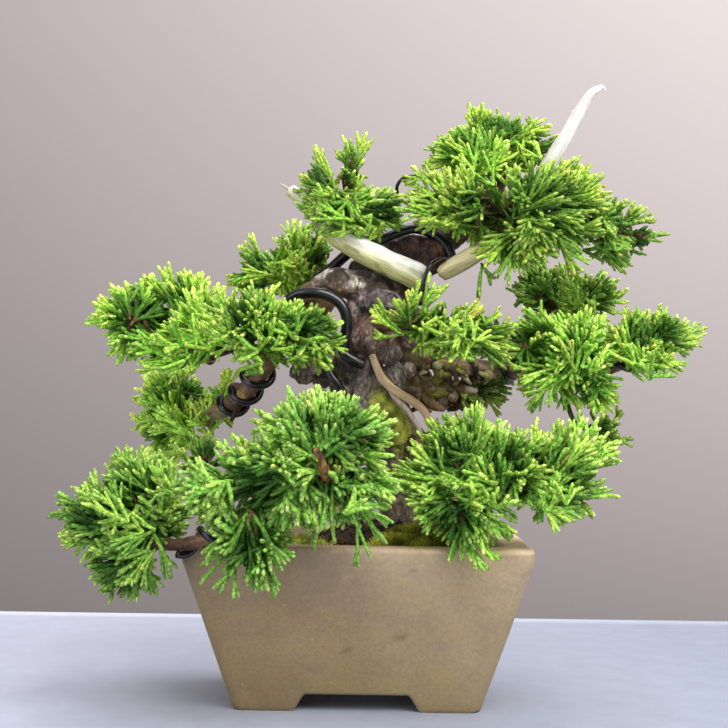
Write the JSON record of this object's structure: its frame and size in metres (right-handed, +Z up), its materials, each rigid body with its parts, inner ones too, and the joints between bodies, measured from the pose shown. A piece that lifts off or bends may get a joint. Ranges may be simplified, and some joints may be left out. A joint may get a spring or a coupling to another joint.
{
  "type": "shimpaku juniper bonsai",
  "caption": "Small juniper trained as a bonsai: twisted trunk with bleached deadwood, wired branches and fine green foliage cushions, planted in a tapered rectangular footed ceramic pot.",
  "frame": {"origin": "under the middle of the whole bounding box, at the level of the surface that the pot stands on", "axes": "+Z up, +X to the viewer's right when looking at the tree's front, +Y from the front to the back; the pot's middle is at x = -10.1 mm, y = +11.7 mm"},
  "size_m": [0.2448, 0.1613, 0.2443],
  "materials": {
    "pot_ceramic": "matte",
    "screen_plastic": "matte",
    "bare_wire": "satin",
    "soil": "matte",
    "moss": "matte",
    "deadwood": "matte",
    "bark": "matte",
    "training_wire": "satin",
    "foliage": "matte"
  },
  "bodies": {
    "root": {"pot": "pot_ceramic", "drainage_screen_left": "screen_plastic", "drainage_screen_right": "screen_plastic", "screen_clip_left": "bare_wire", "screen_clip_right": "bare_wire", "tie_wire": "bare_wire", "soil": "soil", "moss_front": "moss", "moss_left": "moss", "moss_back": "moss", "moss_trunk": "moss", "trunk": "bark", "jin_top_right": "deadwood", "jin_left": "deadwood", "jin_right": "deadwood", "shari_strip": "deadwood", "branch_left_main": "bark", "branch_left_back": "bark", "branch_left_low": "bark", "branch_right_low": "bark", "branch_right_mid": "bark", "branch_right_up": "bark", "branch_mid_front": "bark", "branch_mid_left_rear": "bark", "branch_low_rear": "bark", "branch_apex_rear": "bark", "branch_mid_rear": "bark", "branch_apex_left": "bark", "branch_apex_right": "bark", "branch_hanging": "bark", "wire_upper_trunk": "training_wire", "wire_snag": "training_wire", "wire_crown": "training_wire", "wire_left_main": "training_wire", "wire_left_back": "training_wire", "wire_left_low": "training_wire", "wire_right_low": "training_wire", "wire_right_mid": "training_wire", "wire_apex_left": "training_wire", "foliage_apex_crown": "foliage", "foliage_apex_front": "foliage", "foliage_apex_right": "foliage", "foliage_apex_rear": "foliage", "foliage_upper_left": "foliage", "foliage_mid_left_rear": "foliage", "foliage_left_main": "foliage", "foliage_left_front": "foliage", "foliage_left_low_rear": "foliage", "foliage_left_far_low": "foliage", "foliage_left_tuft": "foliage", "foliage_front_low": "foliage", "foliage_right_low": "foliage", "foliage_low_rear": "foliage", "foliage_mid_front": "foliage", "foliage_right_upper": "foliage", "foliage_right_mid": "foliage", "foliage_mid_rear": "foliage", "foliage_right_far": "foliage", "foliage_right_hanging": "foliage", "foliage_under": "foliage"}
  },
  "joints": []
}
